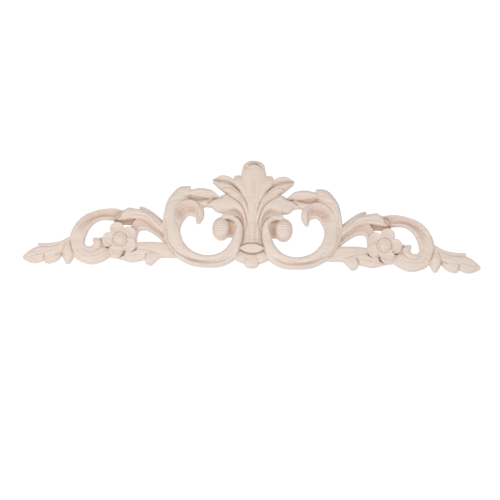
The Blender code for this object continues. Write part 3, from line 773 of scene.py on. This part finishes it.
# How deep each point lies in a hollow, kept with the mesh for the painted shade that darkens and warms the
# hollows. Beside an opening it counts for less, and the back has none.
DEEP = 3.6
DEEPEST_SHARE = 1.5
PROUDEST_SHARE = -0.5
MOST_BESIDE_AIR = 0.6
BACK_WITHIN = 0.5
points = mesh_points()
cell = np.floor((points[:, [0, 2]] - corner) / CELL).astype(int)
cell = np.clip(cell, 0, np.array(heights.shape) - 1)
column, row = cell[:, 0], cell[:, 1]
inside = lowest_near[column, row] > OPEN_BELOW
beside_air = np.minimum(depth_below[column, row], MOST_BESIDE_AIR)
hollow = np.where(inside, around[column, row] + points[:, 1], beside_air)
hollow = np.clip(hollow / DEEP, PROUDEST_SHARE, DEEPEST_SHARE)
hollow = np.where(points[:, 1] < -BACK_WITHIN, hollow, 0)
painted_shade_layer = applique.data.attributes.new("hollow", "FLOAT", "POINT")
painted_shade_layer.data.foreach_set("value", hollow.astype(np.float32))

# Bare rubberwood: pale straw and pink, with fine grain and short dark pores along the board.
# Painted shade makes it warmer and darker in the hollows. The walls that the saw left are paler, partly as
# sawn wood and partly as painted light.
FACE_COLOUR = (0.752, 0.65, 0.582, 1)
EARLY_COLOUR = (0.71, 0.598, 0.50, 1)
PINK_COLOUR = (0.768, 0.622, 0.575, 1)
# Painted shade: the colours the hollows take as they deepen, warm and dark where shade falls.
PAINTED_HOLLOW_SHADE_COLOUR = (0.64, 0.485, 0.385, 1)
PAINTED_DEEP_SHADE_COLOUR = (0.77, 0.485, 0.335, 1)
# Side walls: partly the paler sawn wood itself, partly painted light bounced from the pale room.
SAWN_WALL_AND_PAINTED_LIGHT_COLOUR = (0.81, 0.705, 0.65, 1)
GRAIN_COLOUR = (0.56, 0.43, 0.34, 1)
PORE_COLOUR = (0.42, 0.30, 0.22, 1)
SHEEN = 0.25
TOOTH = 0.5
TOOTH_DEPTH = 0.3
wood = bpy.data.materials.new("bare_rubberwood")
wood.use_nodes = True
nodes, links = wood.node_tree.nodes, wood.node_tree.links
shader = nodes["Principled BSDF"]
shader.inputs["Specular IOR Level"].default_value = SHEEN
place = nodes.new("ShaderNodeTexCoord")


def wood_noise(stretch, scale, detail, roughness=0.55, distortion=0.0):
    """Noise in object space, stretched along the board."""
    mapping = nodes.new("ShaderNodeMapping")
    mapping.inputs["Scale"].default_value = stretch
    noise = nodes.new("ShaderNodeTexNoise")
    noise.inputs["Scale"].default_value = scale
    noise.inputs["Detail"].default_value = detail
    noise.inputs["Roughness"].default_value = roughness
    noise.inputs["Distortion"].default_value = distortion
    links.new(place.outputs["Object"], mapping.inputs["Vector"])
    links.new(mapping.outputs["Vector"], noise.inputs["Vector"])
    return noise.outputs["Fac"]


def spread(value, low, high, to_low=0.0, to_high=1.0):
    """The value stretched from one range to another and held inside it."""
    mapped = nodes.new("ShaderNodeMapRange")
    mapped.inputs["From Min"].default_value = low
    mapped.inputs["From Max"].default_value = high
    mapped.inputs["To Min"].default_value = to_low
    mapped.inputs["To Max"].default_value = to_high
    links.new(value, mapped.inputs["Value"])
    return mapped.outputs["Result"]


def mixed(amount, first, second):
    """One colour over another. Each is a colour or a socket."""
    mix = nodes.new("ShaderNodeMix")
    mix.data_type = "RGBA"
    # The node has sockets of other kinds too: colours go in at 6 and 7, and the mixed one comes out at 2.
    links.new(amount, mix.inputs[0])
    for socket, colour in ((mix.inputs[6], first), (mix.inputs[7], second)):
        if isinstance(colour, tuple):
            socket.default_value = colour
        else:
            links.new(colour, socket)
    return mix.outputs[2]


def combined(operation, first, second):
    """Two values put together. The second is a number or a socket."""
    result = nodes.new("ShaderNodeMath")
    result.operation = operation
    links.new(first, result.inputs[0])
    if isinstance(second, (int, float)):
        result.inputs[1].default_value = second
    else:
        links.new(second, result.inputs[1])
    return result.outputs[0]


figure = wood_noise(stretch=(5, 40, 60), scale=3.0, detail=4, distortion=0.6)
grain = wood_noise(stretch=(60, 500, 700), scale=1.0, detail=5, roughness=0.65)
pores = wood_noise(stretch=(220, 1500, 2300), scale=1.0, detail=2, roughness=0.5)
blush = wood_noise(stretch=(1, 1, 1), scale=26.0, detail=3)
painted_shade_attribute = nodes.new("ShaderNodeAttribute")
painted_shade_attribute.attribute_name = "hollow"
facing = nodes.new("ShaderNodeNewGeometry")
facing_parts = nodes.new("ShaderNodeSeparateXYZ")
links.new(facing.outputs["Normal"], facing_parts.inputs["Vector"])
facing_front = combined("ABSOLUTE", facing_parts.outputs["Y"], 0)

painted_shade_depth = painted_shade_attribute.outputs["Fac"]
colour = mixed(spread(figure, low=0.35, high=0.7), FACE_COLOUR, EARLY_COLOUR)
colour = mixed(spread(blush, low=0.4, high=0.75, to_high=0.8), colour, PINK_COLOUR)
colour = mixed(spread(grain, low=0.5, high=0.75, to_high=0.5), colour, GRAIN_COLOUR)
colour = mixed(spread(pores, low=0.64, high=0.74, to_high=0.3), colour, PORE_COLOUR)
# Paler on walls that face sideways: partly the sawn wood, partly painted light.
colour = mixed(spread(facing_front, low=0.45, high=0.15, to_high=0.9), colour, SAWN_WALL_AND_PAINTED_LIGHT_COLOUR)
# Painted shade: warmer and darker the deeper a point lies in a hollow, most orange in the deepest recesses.
colour = mixed(spread(painted_shade_depth, low=0.12, high=0.9, to_high=0.85), colour, PAINTED_HOLLOW_SHADE_COLOUR)
colour = mixed(spread(painted_shade_depth, low=0.85, high=1.45, to_high=0.9), colour, PAINTED_DEEP_SHADE_COLOUR)
links.new(colour, shader.inputs["Base Color"])
links.new(spread(grain, low=0.3, high=0.8, to_low=0.62, to_high=0.8), shader.inputs["Roughness"])
bump = nodes.new("ShaderNodeBump")
bump.inputs["Strength"].default_value = TOOTH
bump.inputs["Distance"].default_value = TOOTH_DEPTH * MM
pore_depth = spread(pores, low=0.6, high=0.75, to_high=0.5)
links.new(combined("SUBTRACT", grain, pore_depth), bump.inputs["Height"])
links.new(bump.outputs["Normal"], shader.inputs["Normal"])
applique.data.materials.clear()
applique.data.materials.append(wood)
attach(applique, "root")
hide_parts("carved_applique")

# Floor: a plain pale surface well below the carving, out of the picture.
# The carving hangs over it as it would on a wall.
FLOOR_SIZE = 6
FLOOR_BELOW = 0.75
FLOOR_COLOUR = (0.9, 0.9, 0.89, 1)
FLOOR_ROUGHNESS = 0.8
bpy.ops.mesh.primitive_plane_add(size=FLOOR_SIZE, location=(0, 0, -FLOOR_BELOW))
floor = bpy.context.object
floor.name = "floor"
paint = bpy.data.materials.new("pale_floor")
paint.use_nodes = True
paint_shader = paint.node_tree.nodes["Principled BSDF"]
paint_shader.inputs["Base Color"].default_value = FLOOR_COLOUR
paint_shader.inputs["Roughness"].default_value = FLOOR_ROUGHNESS
floor.data.materials.append(paint)

# Light: a white room all round, dimmer overhead, and a wide soft lamp in front of the carving and below it.
# The light is even, so the hollows show more by the painted shade in their colour than by shadow.
ROOM_LIGHT = 1.08
ROOM_SEEN = 1.05
ROOM_COLOUR = (1, 1, 1, 1)
DIM_FROM = -0.3
DIM_UP_TO = 0.9
OVERHEAD_SHARE = 0.62
LAMP_WIDTH = 0.9
LAMP_HEIGHT = 0.5
LAMP_POWER = 3.0
LAMP_PLACE = (-0.2, -0.6, -0.55)
world = bpy.data.worlds.new("white_room")
bpy.context.scene.world = world
world.use_nodes = True
room_nodes, room_links = world.node_tree.nodes, world.node_tree.links
seen = room_nodes.new("ShaderNodeLightPath")
direction = room_nodes.new("ShaderNodeTexCoord")
room_parts = room_nodes.new("ShaderNodeSeparateXYZ")
overhead = room_nodes.new("ShaderNodeMapRange")
overhead.inputs["From Min"].default_value = DIM_FROM
overhead.inputs["From Max"].default_value = DIM_UP_TO
overhead.inputs["To Min"].default_value = ROOM_LIGHT
overhead.inputs["To Max"].default_value = ROOM_LIGHT * OVERHEAD_SHARE
strength = room_nodes.new("ShaderNodeMix")
strength.inputs["B"].default_value = ROOM_SEEN
room_nodes["Background"].inputs["Color"].default_value = ROOM_COLOUR
room_links.new(direction.outputs["Generated"], room_parts.inputs["Vector"])
room_links.new(room_parts.outputs["Z"], overhead.inputs["Value"])
room_links.new(seen.outputs["Is Camera Ray"], strength.inputs["Factor"])
room_links.new(overhead.outputs["Result"], strength.inputs["A"])
room_links.new(strength.outputs["Result"], room_nodes["Background"].inputs["Strength"])
lamp_data = bpy.data.lights.new("soft_lamp", "AREA")
lamp_data.shape = "RECTANGLE"
lamp_data.size = LAMP_WIDTH
lamp_data.size_y = LAMP_HEIGHT
lamp_data.energy = LAMP_POWER
lamp = bpy.data.objects.new("soft_lamp", lamp_data)
bpy.context.scene.collection.objects.link(lamp)
lamp.location = LAMP_PLACE
lamp.rotation_euler = (-lamp.location).to_track_quat("-Z", "Y").to_euler()

# Camera: a little below the carving, looking slightly up with a long lens.
# It is rolled a touch, so that the carving's right end sits lower in the picture.
LENS = 200
SENSOR = 36
VIEW_WIDTH = 0.43573
BELOW = math.radians(14)
ROLL = math.radians(1.357)
SIDEWAYS = -0.0024
DOWNWARDS = -0.02945
HALF_RELIEF = 0.008
forward = Vector((0, math.cos(BELOW), math.sin(BELOW)))
upright = Vector((0, -math.sin(BELOW), math.cos(BELOW)))
level_right = Vector((1, 0, 0))
picture_right = level_right * math.cos(ROLL) + upright * math.sin(ROLL)
picture_up = upright * math.cos(ROLL) - level_right * math.sin(ROLL)
aim = picture_right * SIDEWAYS + picture_up * DOWNWARDS - forward * HALF_RELIEF
camera_data = bpy.data.cameras.new("camera")
camera_data.lens = LENS
camera_data.sensor_width = SENSOR
camera = bpy.data.objects.new("camera", camera_data)
bpy.context.scene.collection.objects.link(camera)
facing_in = Matrix((picture_right, picture_up, -forward)).transposed().to_4x4()
camera.matrix_world = Matrix.Translation(aim - forward * (VIEW_WIDTH * LENS / SENSOR)) @ facing_in
bpy.context.scene.camera = camera
bpy.context.scene.view_settings.view_transform = "Standard"
